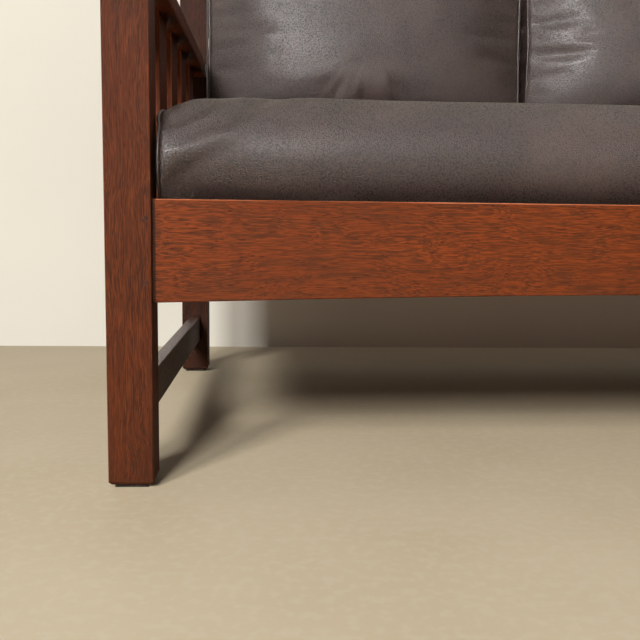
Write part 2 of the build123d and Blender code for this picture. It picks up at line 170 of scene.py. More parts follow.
# Fumed quarter-sawn oak
oak = {
    "shade": (68, 35, 19),          # brown between the rays
    "body": (82, 38, 18),
    "fleck": (117, 54, 20),         # ray flecks of the quarter-sawn faces
    "pore": (44, 21, 16), "poreShare": 0.6,
    "worn": (184, 112, 76),         # lighter arrises: partly real rubbing, partly a painted highlight where the edges catch the light
    "wearAndHighlightShare": 0.65, "wearAndHighlightWidth": 0.0016,
    "corner": (30, 17, 12),         # painted shadow of the posts on the rail's face beside them
    "postShadowShare": 0.85, "postShadowWidth": (0.0050, 0.0035),
    "fleckLength": 0.026, "fleckWidth": 0.0012,
    "slant": 0.040,                 # how far the figure wanders across the board
    # scales of the other noises, along the grain and square to it
    "drift": (6.5, 9.0), "lines": (9.0, 260.0), "pores": (85.0, 900.0), "cloud": (3.5, 14.0),
    "roughness": 0.48, "specular": 0.05,
    "relief": 0.6, "reliefDepth": 0.0002,
}
boardShades = {
    "post": {"shade": (51, 27, 16), "body": (64, 31, 16), "fleck": (94, 45, 20),
             "worn": (140, 78, 50), "wearAndHighlightShare": 0.5, "wearAndHighlightWidth": 0.0013},
    "rail": {},
    "slat": {"shade": (66, 32, 19), "body": (82, 38, 19), "fleck": (110, 51, 21)},
    "arm": {},
    # painted shade: a darker copy of the oak for the rear posts, which stand in the seat's shadow
    "rear": {"shade": (36, 21, 15), "body": (46, 26, 17), "fleck": (64, 34, 20),
             "worn": (96, 56, 38), "wearAndHighlightShare": 0.4},
    # painted shade: a darker, greyer copy of the oak for the stretchers, which lie in shade under
    # the seat
    "low": {"shade": (50, 33, 24), "body": (64, 41, 29), "fleck": (90, 58, 40),
            "pore": (26, 17, 13), "worn": (92, 62, 46), "wearAndHighlightShare": 0.4,
            "specular": 0.35, "relief": 1.0},
}
postFace = 0.914                    # from the settle's middle to the inner faces of the posts


def edgeShare(finish, spot, low, high, width):
    # Near an edge of a square board two of the three distances to its faces are small, so the
    # middle one of the three shows how near the edge is.
    away = [(high[i] - low[i]) / 2 - abs(c - (high[i] + low[i]) / 2)
            for i, c in enumerate(finish.parts(spot))]
    middle = away[0].least(away[1]).most(away[0].most(away[1]).least(away[2]))
    return middle.step(width * 0.35, width, 1.0, 0.0)


def oakFinish(name, along, node, number, changes, shadedByPosts):
    # along is the axis of the grain, and the last argument tells whether the posts' shadow is
    # painted on the board beside them
    values = {**oak, **changes}
    finish = Finish(name)
    bare = finish.place()
    shift = (0.37 * number, 0.23 * number + 0.11, 0.31 * number + 0.07)
    axes = finish.parts(finish.place(shift))
    grain = axes.pop(along)
    across, depth = axes
    # the figure wanders: places across the board are pushed aside by a slow noise
    drift = finish.figure((grain, across, depth), values["drift"], 2.0) - 0.5
    across = across + drift * values["slant"]
    depth = depth + drift * (values["slant"] * 0.6)
    board = (grain, across, depth)
    fleckScales = (1 / values["fleckLength"], 1 / values["fleckWidth"])
    flecks = finish.figure(board, fleckScales, 2.0, 0.6).step(0.42, 0.66)
    lines = finish.figure(board, values["lines"], 1.0)
    pores = finish.figure(board, values["pores"], 0.0).step(0.62, 0.78)
    cloud = finish.figure(board, values["cloud"], 2.0)
    # lighter arrises in patches: real rubbing together with a painted highlight along the board's
    # edges
    worn = edgeShare(finish, bare, *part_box(node), values["wearAndHighlightWidth"]) * cloud.step(0.34, 0.58)
    tone = finish.mix(lines.step(0.36, 0.62), linear(values["shade"]), linear(values["body"]))
    fleckShare = flecks * cloud.step(0.30, 0.60, 0.35, 0.75)
    tone = finish.mix(fleckShare, tone, linear(values["fleck"]))
    tone = finish.mix(pores * values["poreShare"], tone, linear(values["pore"]))
    tone = finish.mix(worn * values["wearAndHighlightShare"], tone, linear(values["worn"]))
    # painted shadow: a dark band on the rail's face beside each post, where the post shades the
    # set-back rail
    if shadedByPosts:
        start, end = (postFace - width for width in values["postShadowWidth"])
        postShadow = abs(finish.parts(bare)[along]).step(start, end)
        tone = finish.mix(postShadow * values["postShadowShare"], tone, linear(values["corner"]))
    rough = values["roughness"] + lines * 0.10 - flecks * 0.05 + pores * 0.12
    return finish.surface(
        baseColor=tone, roughness=rough, specularIorLevel=values["specular"],
        normal=finish.bump(flecks * 0.3 - pores * 0.8, values["reliefDepth"], values["relief"]))


# each board with the direction of its grain (0 along X, 1 along Y, 2 along Z) and its shade
boards = {
    "front_left_post": (2, "post"), "front_right_post": (2, "post"),
    "rear_left_post": (2, "rear"), "rear_right_post": (2, "rear"),
    "front_seat_rail": (0, "rail"), "rear_seat_rail": (0, "rail"), "crest_rail": (0, "rail"),
    "left_seat_rail": (1, "rail"), "right_seat_rail": (1, "rail"),
    "left_stretcher": (1, "low"), "right_stretcher": (1, "low"),
    "left_arm": (1, "arm"), "right_arm": (1, "arm"),
}
boards.update({f"back_slat_{i}": (2, "slat") for i in range(1, 14)})
boards.update({f"{side}_slat_{i}": (2, "slat") for side in ("left", "right") for i in range(1, 6)})
for number, (node, (along, kind)) in enumerate(boards.items()):
    nodes[node].material_slots[0].material = oakFinish(
        "oak_" + node, along, node, number, boardShades[kind], node == "front_seat_rail")
print("oak boards finished:", len(boards))


pegOak = {
    "body": (40, 22, 15), "light": (68, 33, 20), "pore": (26, 15, 12), "poreShare": 0.6,
    "poreScale": 1400.0, "cloudScale": 260.0, "roughness": 0.50, "specular": 0.12,
}


def pegFinish():
    # pegs show end grain: rings of open pores, filled dark by the stain
    finish = Finish("peg_oak")
    spot = finish.place()
    dots = finish.cells(spot, pegOak["poreScale"]).step(0.10, 0.45)
    cloud = finish.noise(spot, pegOak["cloudScale"], 3.0, 0.6)
    tone = finish.mix(cloud.step(0.35, 0.65), linear(pegOak["body"]), linear(pegOak["light"]))
    tone = finish.mix((1 - dots) * pegOak["poreShare"], tone, linear(pegOak["pore"]))
    return finish.surface(
        baseColor=tone, roughness=pegOak["roughness"] + cloud * 0.12,
        specularIorLevel=pegOak["specular"], normal=finish.bump(dots, 0.0002, 0.6))


plainWood = {
    "shade": (84, 56, 36), "body": (112, 78, 50), "pore": (58, 38, 26), "poreShare": 0.5,
    "drift": (4.0, 12.0), "rings": (3.0, 130.0), "pores": (60.0, 900.0),
    "slant": 0.03, "sawTurn": 1500.0, "roughness": 0.62, "specular": 0.3,
}


def frameWoodFinish(name, along, number):
    # plain stained hardwood of the hidden frame, left as it came from the saw
    finish = Finish(name)
    axes = finish.parts(finish.place((0.4 * number, 0.2 * number, 0.3 * number)))
    grain = axes.pop(along)
    across, depth = axes
    drift = finish.figure((grain, across, depth), plainWood["drift"], 2.0) - 0.5
    board = (grain, across + drift * plainWood["slant"], depth)
    rings = finish.figure(board, plainWood["rings"], 2.5)
    pores = finish.figure(board, plainWood["pores"], 1.0)
    saw = (grain * plainWood["sawTurn"] + drift * 20.0).wave()
    tone = finish.mix(
        rings.step(0.36, 0.62), linear(plainWood["shade"]), linear(plainWood["body"]))
    poreShare = pores.step(0.58, 0.74) * plainWood["poreShare"]
    tone = finish.mix(poreShare, tone, linear(plainWood["pore"]))
    return finish.surface(
        baseColor=tone, roughness=plainWood["roughness"] + pores * 0.12,
        specularIorLevel=plainWood["specular"],
        normal=finish.bump(rings * 0.4 + saw * 0.10 - pores * 0.5, 0.0003, 0.5))


webbing = {
    "width": 0.050, "rows": 5, "columns": 15,
    "thread": 0.0016, "weftPace": 0.7,      # weft threads to each warp thread
    "bright": (116, 92, 64), "dark": (74, 57, 40), "fuzz": (140, 116, 84),
    "stripe": (88, 36, 26), "stripePlace": 0.30, "stripeWidth": (0.045, 0.06), "stripeShare": 0.75,
    "roughness": 0.85, "specular": 0.15, "sheen": 0.2,
}


def webFinish(name, node, along, count):
    # plain-woven webbing: warp and weft threads cross, and each hides the other in turn;
    # two coloured warp stripes run along each web, at a share of its width from its middle
    finish = Finish(name)
    width = webbing["width"]
    low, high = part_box(node)
    first, last = low[1 - along] + width / 2, high[1 - along] - width / 2
    x, y, z = finish.parts(finish.place())
    length, across = (x, y) if along == 0 else (y, x)
    turn = math.pi / webbing["thread"]
    warp = (across * turn).wave()
    weft = (length * turn * webbing["weftPace"]).wave()
    check = (warp * weft).step(-0.25, 0.25)
    height = check * abs(warp) + (1 - check) * abs(weft)
    fuzz = finish.noise(finish.place(), 900.0, 3.0, 0.7)
    # painted shade: the weave is darker where a thread dips under its neighbour, following the
    # bump's height
    tone = finish.mix(height.step(0.2, 0.9), linear(webbing["dark"]), linear(webbing["bright"]))
    tone = finish.mix(fuzz.step(0.4, 0.75) * 0.35, tone, linear(webbing["fuzz"]))
    centres = np.linspace(first, last, count).tolist()
    nearest = abs(across - centres[0])
    for centre in centres[1:]:
        nearest = nearest.least(abs(across - centre))
    offset = abs(nearest - width * webbing["stripePlace"])
    start, end = (width * share for share in webbing["stripeWidth"])
    stripe = offset.step(start, end, 1.0, 0.0) * webbing["stripeShare"]
    tone = finish.mix(stripe, tone, linear(webbing["stripe"]))
    return finish.surface(
        baseColor=tone, roughness=webbing["roughness"] + fuzz * 0.1,
        specularIorLevel=webbing["specular"], sheenWeight=webbing["sheen"],
        normal=finish.bump(height + fuzz * 0.4, 0.0005, 0.8))


felt = {
    "dark": (16, 14, 13), "light": (44, 40, 38), "dust": (60, 52, 46), "dustShare": 0.4,
    "fibreScale": 1500.0, "clumpScale": 260.0, "roughness": 0.9, "specular": 0.1, "sheen": 0.3,
}


def feltFinish():
    finish = Finish("felt")
    spot = finish.place()
    fibre = finish.noise(spot, felt["fibreScale"], 4.0, 0.75)
    clump = finish.noise(spot, felt["clumpScale"])
    tone = finish.mix(fibre.step(0.35, 0.7), linear(felt["dark"]), linear(felt["light"]))
    tone = finish.mix(clump.step(0.5, 0.7) * felt["dustShare"], tone, linear(felt["dust"]))
    return finish.surface(
        baseColor=tone, roughness=felt["roughness"] + fibre * 0.08,
        specularIorLevel=felt["specular"], sheenWeight=felt["sheen"],
        normal=finish.bump(fibre, 0.0005, 0.8))


screwSteel = {
    # the slot colour is painted shade for the hollow of the slot
    "bright": (196, 188, 168), "dull": (150, 138, 112), "slot": (38, 34, 30),
    "slotWidth": (0.00055, 0.0008), "roughness": 0.30,
}


def screwFinish():
    # zinc-plated heads with one straight slot, dulled by handling
    finish = Finish("screw_steel")
    spot = finish.place()
    low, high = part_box("cleat_screws")
    z = finish.parts(spot)[2]
    # painted shade: the slot is painted dark and less metallic, where its hollow would be in shade
    slot = abs(z - (low[2] + high[2]) / 2).step(*screwSteel["slotWidth"], 1.0, 0.0)
    brushed = finish.noise(spot, 2400.0)
    dull = finish.noise(spot, 300.0, 3.0, 0.6)
    tone = finish.mix(
        dull.step(0.35, 0.7), linear(screwSteel["bright"]), linear(screwSteel["dull"]))
    tone = finish.mix(slot, tone, linear(screwSteel["slot"]))
    return finish.surface(
        baseColor=tone, metallic=1 - slot * 0.6, roughness=screwSteel["roughness"] + dull * 0.22,
        normal=finish.bump(brushed * 0.3 - slot * 1.5, 0.0003, 0.6))


frameWood = {
    "front_cleat": 0, "rear_cleat": 0, "left_cleat": 1, "right_cleat": 1,
    "deck_front_bar": 0, "deck_rear_bar": 0, "deck_left_bar": 1, "deck_right_bar": 1,
    "deck_cross_bar_1": 1, "deck_cross_bar_2": 1, "deck_cross_bar_3": 1,
}
nodes["joint_pegs"].material_slots[0].material = pegFinish()
for number, (node, along) in enumerate(frameWood.items()):
    nodes[node].material_slots[0].material = frameWoodFinish("plain_" + node, along, number)
for node in ("front_left_pad", "front_right_pad", "rear_left_pad", "rear_right_pad"):
    nodes[node].material_slots[0].material = feltFinish()
nodes["cleat_screws"].material_slots[0].material = screwFinish()
for way, along, count in (("lengthwise", 0, webbing["rows"]),
                          ("crosswise", 1, webbing["columns"])):
    node = way + "_webbing"
    nodes[node].material_slots[0].material = webFinish("web_" + way, node, along, count)
print("pegs, frame wood, felt, screws and webbing finished")


# Leather with a pebbled grain
leather = {
    "body": (56, 41, 35),
    "valley": (20, 14, 11),         # between the pebbles: the grain's own darker dye, deepened by painted shade in the hollows
    "rubbed": (74, 58, 51), "rubbedShare": 0.35,
    "pebble": 0.0018,
    "bend": (0.0020, 0.0015, 0.0020),       # how far the pebbles are pushed out of round
    "creases": (60.0, 150.0, 150.0),
    "roughness": 0.31, "valleyRoughness": 0.25,
    "relief": 0.7, "reliefDepth": 0.0005,
}


def leatherFinish(name, changes={}):
    values = {**leather, **changes}
    finish = Finish(name)
    spot = finish.place()
    bent = finish.noise(spot, 160.0, 1.0)
    push = finish.vector(*[bent * far for far in values["bend"]])
    shifted = finish.node("ShaderNodeVectorMath", {"operation": "ADD"}, {0: spot, 1: push})
    dome = finish.cells(shifted, 1 / values["pebble"]).step(0.36, 0.74, 1.0, 0.0)
    broad = finish.noise(spot, 9.0, 2.0, 0.55)
    stretched = [c * scale for c, scale in zip(finish.parts(spot), values["creases"])]
    crease = finish.noise(finish.vector(*stretched), 1.0, 2.0, 0.6)
    # the pebble hollows are darker: partly the grain's dye, partly painted shade
    tone = finish.mix(dome, linear(values["valley"]), linear(values["body"]))
    rubbed = broad.step(0.40, 0.72) * values["rubbedShare"]
    tone = finish.mix(rubbed, tone, linear(values["rubbed"]))
    rough = values["roughness"] + (1 - dome) * values["valleyRoughness"] + broad * 0.06
    return finish.surface(
        baseColor=tone, roughness=rough, specularIorLevel=0.5,
        normal=finish.bump(dome + crease * 0.5, values["reliefDepth"], values["relief"]))


cushionLeather = leatherFinish("leather")
weltLeather = leatherFinish("leather_welt", {"pebble": 0.0013, "roughness": 0.22, "relief": 0.35})


def meshPiece(name, points, quads, triangles=(), material=None, smooth=True):
    # a mesh object from its points and the point numbers of its faces
    faces = np.asarray(quads).tolist() + np.asarray(triangles).tolist()
    mesh = bpy.data.meshes.new(name)
    mesh.from_pydata(np.asarray(points, float).tolist(), [], faces)
    mesh.polygons.foreach_set("use_smooth", np.full(len(mesh.polygons), smooth))
    piece = bpy.data.objects.new(name, mesh)
    scene.collection.objects.link(piece)
    if material:
        mesh.materials.append(material)
    return piece


def ringFaces(rows, around):
    # the faces between closed rings of points, which are numbered row by row
    i = np.arange(rows - 1)[:, None] * around
    j = np.arange(around)[None]
    k = (j + 1) % around
    return np.stack([i + j, i + k, i + around + k, i + around + j], -1).reshape(-1, 4)


def arcThrough(first, middle, last, count):
    # Points along the circle through three points: its centre is as far from all three
    a, b, c = (np.array(p, float) for p in (first, middle, last))
    rows = np.array([b - a, c - a]) * 2
    centre = np.linalg.solve(rows, np.array([b @ b - a @ a, c @ c - a @ a]))
    start, through, end = (math.atan2(*(p - centre)[::-1]) for p in (a, b, c))
    sweep = (end - start) % (2 * math.pi)
    if (through - start) % (2 * math.pi) > sweep:
        sweep -= 2 * math.pi
    angles = start + sweep * np.linspace(0, 1, count)
    return centre + np.hypot(*(a - centre)) * np.stack([np.cos(angles), np.sin(angles)], 1)


def evenly(path, count):
    # count points at equal steps along a line of points
    path = np.asarray(path, float)
    gone = np.concatenate([[0], np.cumsum(np.linalg.norm(np.diff(path, axis=0), axis=1))])
    steps = np.linspace(0, gone[-1], count)
    return np.stack([np.interp(steps, gone, path[:, i]) for i in range(path.shape[1])], 1)


def evenLoop(loop, count):
    # count points at equal steps round a closed line of points
    return evenly(np.vstack([loop, loop[:1]]), count + 1)[:-1]


def smoothNoise(points, size, seed):
    # A gentle unevenness: the mean of five sine waves in different directions and lengths
    rng = np.random.default_rng(seed)
    total = np.zeros(len(points))
    waves = 5
    for wave in range(waves):
        direction = rng.normal(size=3)
        direction /= np.linalg.norm(direction)
        length = size * rng.uniform(0.55, 1.4)
        total += np.sin(points @ direction * 2 * math.pi / length + rng.uniform(0, 6.28))
    return total / waves


def pointNormals(piece):
    flat = np.zeros(len(piece.data.vertices) * 3)
    piece.data.vertex_normals.foreach_get("vector", flat)
    return flat.reshape(-1, 3)


def getPoints(piece):
    flat = np.zeros(len(piece.data.vertices) * 3)
    piece.data.vertices.foreach_get("co", flat)
    return flat.reshape(-1, 3)


def setPoints(piece, points):
    piece.data.vertices.foreach_set("co", np.asarray(points, np.float32).ravel())
    piece.data.update()


def outward(piece):
    # turns the faces of a closed shape outwards
    work = bmesh.new()
    work.from_mesh(piece.data)
    bmesh.ops.recalc_face_normals(work, faces=work.faces)
    work.to_mesh(piece.data)
    work.free()
    piece.data.update()


def roughen(piece, values, seed):
    # the piece's points, pushed along their normals by the unevenness
    points = getPoints(piece)
    push = smoothNoise(points, values["unevenSize"], seed)[:, None]
    return points + pointNormals(piece) * push * values["uneven"]


lastFrame = 20                      # of the filling


def stuff(piece, held, values):
    # Fills the cover: pressure from inside pushes every point but the held seam points,
    # and a point may move no further than values["reach"]
    start = getPoints(piece)
    group = piece.vertex_groups.new(name="seam")
    group.add([int(i) for i in held], 1.0, "REPLACE")
    cloth = piece.modifiers.new("filling", "CLOTH")
    settings = cloth.settings
    settings.quality = 5
    settings.mass = values["mass"]
    settings.tension_stiffness = settings.compression_stiffness = values["stiffness"]
    settings.shear_stiffness = values["stiffness"] * 0.5
    settings.bending_stiffness = values["bending"]
    settings.use_pressure = True
    settings.uniform_pressure_force = values["pressure"]
    settings.shrink_min = -values["slack"]
    settings.vertex_group_mass = "seam"
    settings.effector_weights.gravity = 0
    cloth.point_cache.frame_start = 1
    cloth.point_cache.frame_end = lastFrame
    for f in range(1, lastFrame + 1):
        scene.frame_set(f)
    shown = piece.evaluated_get(bpy.context.evaluated_depsgraph_get())
    flat = np.zeros(len(start) * 3)
    shown.data.vertices.foreach_get("co", flat)
    piece.modifiers.remove(cloth)
    piece.vertex_groups.remove(group)
    scene.frame_set(1)
    move = flat.reshape(-1, 3) - start
    far = np.linalg.norm(move, axis=1, keepdims=True)
    move *= np.minimum(1, values["reach"] / np.maximum(far, 1e-9))
    setPoints(piece, start + move)


def finishCushion(piece, body, seams):
    # the smoothing keeps the seams where they are, under their welts
    mesh = piece.data
    ends = np.zeros(len(mesh.edges) * 2, int)
    mesh.edges.foreach_get("vertices", ends)
    sharp = np.zeros(len(mesh.edges), bool)
    for seam in seams:
        sharp |= np.isin(ends.reshape(-1, 2), seam).all(1)
    crease = mesh.attributes.new("crease_edge", "FLOAT", "EDGE")
    crease.data.foreach_set("value", sharp.astype(float))
    mesh.materials.clear()
    mesh.materials.append(cushionLeather)
    smoother = piece.modifiers.new("smooth", "SUBSURF")
    smoother.levels = smoother.render_levels = 1
    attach(piece, body)
    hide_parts(body)


def welt(name, body, loop, radius, sides=10):
    # A round cord carried along a closed loop: at each point a circle stands square to the loop
    ahead = np.roll(loop, -1, 0) - np.roll(loop, 1, 0)
    ahead /= np.linalg.norm(ahead, axis=1, keepdims=True)
    out = loop - loop.mean(0)
    out -= (out * ahead).sum(1, keepdims=True) * ahead
    out /= np.linalg.norm(out, axis=1, keepdims=True)
    side = np.cross(ahead, out)
    turn = np.linspace(0, 2 * math.pi, sides, endpoint=False)
    cosine, sine = np.cos(turn)[None, :, None], np.sin(turn)[None, :, None]
    ring = (out[:, None] * cosine + side[:, None] * sine) * radius
    points = (loop[:, None] + ring).reshape(-1, 3)
    i = np.arange(len(loop))[:, None] * sides
    j = np.arange(sides)[None]
    n = (i + sides) % (len(loop) * sides)
    k = (j + 1) % sides
    quads = np.stack([i + j, n + j, n + k, i + k], -1).reshape(-1, 4)
    piece = meshPiece(name, points, quads, material=weltLeather)
    outward(piece)
    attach(piece, body)


seat = {
    "noseHeight": 0.080, "noseRun": 0.074, "footSetback": 0.044, "heel": 0.016, "crown": 0.007,
    "backDepth": 0.185,             # flat stretch under the back cushions
    "railTop": 0.329, "railBack": -0.369,
    # reach from the end, and the shares of inset and drop there
    "endShares": [(0.0, 1.0, 1.0), (0.05, 0.3, 0.72), (0.2, 0.0, 0.42),
                  (0.5, 0.0, 0.14), (1.0, 0.0, 0.0)],
    "endReach": 0.150, "endInset": 0.004, "endDrop": 0.009, "endBulge": 0.006,
    "cell": 0.0105,
    "span": 92,                     # faces from the nose to the middle of the back
    "rungs": 10,                    # faces up an end panel
    "inside": 0.0035, "seamInside": 0.0012,     # the slack cover starts this far inside
    "uneven": 0.0007, "unevenSize": 0.16, "seed": 3,
    "skin": 0.0002,                 # kept clear of what the cushion lies on
    "railSkin": 0.0006,
    "postRange": (-0.335, 0.365), "betweenPosts": 0.9125, "betweenRails": 0.9190,
    "weltRadius": 0.0020, "weltInset": 0.0022, "weltStand": 0.0007, "weltPoints": 360,
    "flare": 0.0022, "flarePlace": 0.035, "flareLength": 0.022,
    "mass": 0.4, "stiffness": 12, "bending": 3, "pressure": 3.0, "slack": 0.012, "reach": 0.009,
}


def seatOutline(count):
    # The cushion's middle section (Y, Z): from the foremost point of the nose over the top to
    # the middle of the back, and the same way round underneath, each at equal steps
    low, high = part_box("seat_cushion")
    front, back, bottom = low[1], high[1], low[2]
    top = high[2] - seat["crown"]
    half = math.radians(45)
    noseZ = bottom + seat["noseHeight"]
    noseTop = front + seat["noseRun"]
    heel = seat["heel"]
    flat = back - seat["backDepth"]
    middle = (back, (bottom + top) / 2)
    heelY = back - heel * (1 - math.cos(half))
    heelDrop = heel * (1 - math.sin(half))
    footEnd = (back, bottom + heel)
    noseMiddle = (front + seat["noseRun"] * (1 - math.cos(half)),
                  noseZ + (top - noseZ) * math.sin(half))
    crown = ((noseTop + flat) / 2, top + seat["crown"])
    overRail = (seat["railBack"] + 0.0003, seat["railTop"] + 0.0003)
    over = np.concatenate([
        arcThrough((front, noseZ), noseMiddle, (noseTop, top), 60),
        arcThrough((noseTop, top), crown, (flat, top), 90)[1:],
        [(back - heel, top)],
        arcThrough((back - heel, top), (heelY, top - heelDrop), (back, top - heel), 12)[1:],
        [middle]])
    under = np.concatenate([
        arcThrough((front, noseZ), overRail, (front + seat["footSetback"], bottom), 50),
        [(back - heel, bottom)],
        arcThrough((back - heel, bottom), (heelY, bottom + heelDrop), footEnd, 12)[1:],
        [middle]])
    return evenly(over, count + 1), evenly(under, count + 1)


def endPanel(edge, base, total, side):
    # An end panel of straight rungs between the upper and the lower edge of the end section,
    # bulging most in its middle. edge holds the section's points, numbered from base on; the
    # inner points are numbered from total on.
    span, rungs, around = seat["span"], seat["rungs"], len(edge)
    upper = edge[1:span]
    lower = edge[:span:-1]
    share = (np.arange(1, rungs) / rungs)[None, :, None]
    inner = upper[:, None] * (1 - share) + lower[:, None] * share
    along = np.linspace(0, 1, span + 1)[1:-1]
    lengthwise = np.sin(along * math.pi)[:, None] ** 0.35
    inner[:, :, 0] += side * seat["endBulge"] * lengthwise * np.sin(share[:, :, 0] * math.pi) ** 0.6
    at = np.zeros((span + 1, rungs + 1), int)
    size = (span - 1, rungs - 1)
    at[1:span, 1:rungs] = total + np.arange(size[0] * size[1]).reshape(size)
    at[:, 0] = base + np.arange(span + 1)
    at[:, rungs] = base + (around - np.arange(span + 1)) % around
    at[0, :] = base
    at[span, :] = base + span
    quads = np.stack([at[1:-2, :-1], at[1:-2, 1:], at[2:-1, 1:], at[2:-1, :-1]], -1)
    triangles = [np.stack([np.full(rungs, at[tip, 0]), at[row, :-1], at[row, 1:]], -1)
                 for row, tip in ((1, 0), (span - 1, span))]
    return inner.reshape(-1, 3), quads.reshape(-1, 4), triangles


def seatCushion():
    # The middle section carried along X. Towards each end it draws in to its middle and its
    # top falls, by the shares given, and an end panel closes it.
    low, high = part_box("seat_cushion")
    over, under = seatOutline(seat["span"])
    ring = np.concatenate([over, under[-2:0:-1]])       # (Y, Z) once round
    half = high[0] - seat["weltRadius"] - seat["weltInset"]
    columns = np.linspace(-half, half, 1 + int(round(2 * half / seat["cell"])))
    shares = np.array(seat["endShares"])
    reach = (half - np.abs(columns)) / seat["endReach"]
    inset = np.interp(reach, shares[:, 0], shares[:, 1]) * seat["endInset"]
    drop = np.interp(reach, shares[:, 0], shares[:, 2]) * seat["endDrop"]
    bottom = low[2]
    top = high[2] - seat["crown"]
    middleY = (low[1] + high[1]) / 2
    halfY = (high[1] - low[1]) / 2
    y = middleY + (ring[None, :, 0] - middleY) * (1 - inset[:, None] / halfY)
    z = bottom + (ring[None, :, 1] - bottom) * (1 - (drop + inset)[:, None] / (top - bottom))
    x = np.repeat(columns[:, None], len(ring), 1)
    skin = np.stack([x, y, z], -1)
    count, around = skin.shape[:2]
    points, quads, triangles = [skin.reshape(-1, 3)], [ringFaces(count, around)], []
    total = count * around
    for column, side in ((0, -1), (count - 1, 1)):
        inner, panel, tips = endPanel(skin[column], column * around, total, side)
        points.append(inner)
        quads.append(panel)
        triangles += tips
        total += len(inner)
    piece = meshPiece("seat_cushion_cover", np.concatenate(points), np.concatenate(quads),
                      np.concatenate(triangles))
    outward(piece)
    seams = [column * around + np.arange(around) for column in (0, count - 1)]
    held = np.concatenate(seams)
    start = getPoints(piece)
    shrink = np.full(len(start), seat["inside"])
    shrink[held] = seat["seamInside"]
    setPoints(piece, start - pointNormals(piece) * shrink[:, None])
    stuff(piece, held, seat)
    # it lies flat on the webbing, against the back, and under the back cushions
    x, y, z = roughen(piece, seat, seat["seed"]).T
    z = np.maximum(z, low[2] + seat["skin"])
    y = np.minimum(y, high[1] - seat["skin"])
    behind = np.clip((y - (high[1] - seat["backDepth"] - 0.02)) / 0.03, 0, 1)
    z = np.minimum(z, top - seat["skin"] + (1 - behind) * 0.02)
    # what is in the rail moves up or back out of it, whichever is less
    overRail = seat["railTop"] + seat["railSkin"]
    behindRail = seat["railBack"] + seat["railSkin"]
    inRail = (y < behindRail) & (z < overRail)
    lift = inRail & (overRail - z < behindRail - y)
    z = np.where(lift, overRail, z)
    y = np.where(inRail & ~lift, behindRail, y)
    y = np.maximum(y, low[1] - 0.003)
    byPost = (y < seat["postRange"][0]) | (y > seat["postRange"][1])
    limit = np.where(byPost, seat["betweenPosts"], seat["betweenRails"])
    setPoints(piece, np.stack([np.clip(x, -limit, limit), y, z], 1))
    normals = pointNormals(piece)
    final = getPoints(piece)
    radius = seat["weltRadius"]
    for label, seam, side in (("left", seams[0], -1), ("right", seams[1], 1)):
        loop = final[seam] + normals[seam] * 0.0004
        # round the top of the nose the seam leans out towards the post
        away = (loop[:, 1] - (low[1] + seat["flarePlace"])) / seat["flareLength"]
        flare = np.exp(-away ** 2) * (loop[:, 2] > top - 0.03) * seat["flare"]
        loop[:, 0] = side * (half + seat["weltStand"]) + side * flare
        loop[:, 2] = np.maximum(loop[:, 2], low[2] + radius + 0.0003)
        loop[:, 1] = np.minimum(loop[:, 1], high[1] - radius - 0.0003)
        loop = evenLoop(loop, seat["weltPoints"])
        welt(f"seat_cushion_{label}_welt", "seat_cushion", loop, radius)
    finishCushion(piece, "seat_cushion", seams)


seatCushion()
print("seat cushion stuffed")


back = {
    # share of the height, and the shares of thickness and side pull there
    "shares": [(0.0, 0.78, 0.0), (0.05, 0.90, 0.25), (0.2, 1.0, 0.7), (0.45, 0.97, 1.0),
               (0.7, 0.86, 0.8), (0.88, 0.70, 0.4), (0.97, 0.52, 0.1), (1.0, 0.36, 0.0)],
    "thickness": 0.150, "boxing": 0.58, "crown": 0.92, "sidePull": 0.007, "topPull": 0.008,
    "corner": 9.0,                  # the higher, the squarer the corners
    "around": 208, "backRows": 16, "boxRows": 9, "frontRows": 20,
    "uneven": 0.0010, "unevenSize": 0.20, "firstSeed": 11,
    "skin": 0.0003, "forward": 0.006,       # how far it may swell past its solid's front
    "weltRadius": 0.0022, "weltStand": 0.0006, "weltPoints": 240,
    "mass": 0.4, "stiffness": 10, "bending": 2, "pressure": 3.5, "slack": 0.02, "reach": 0.012,
}


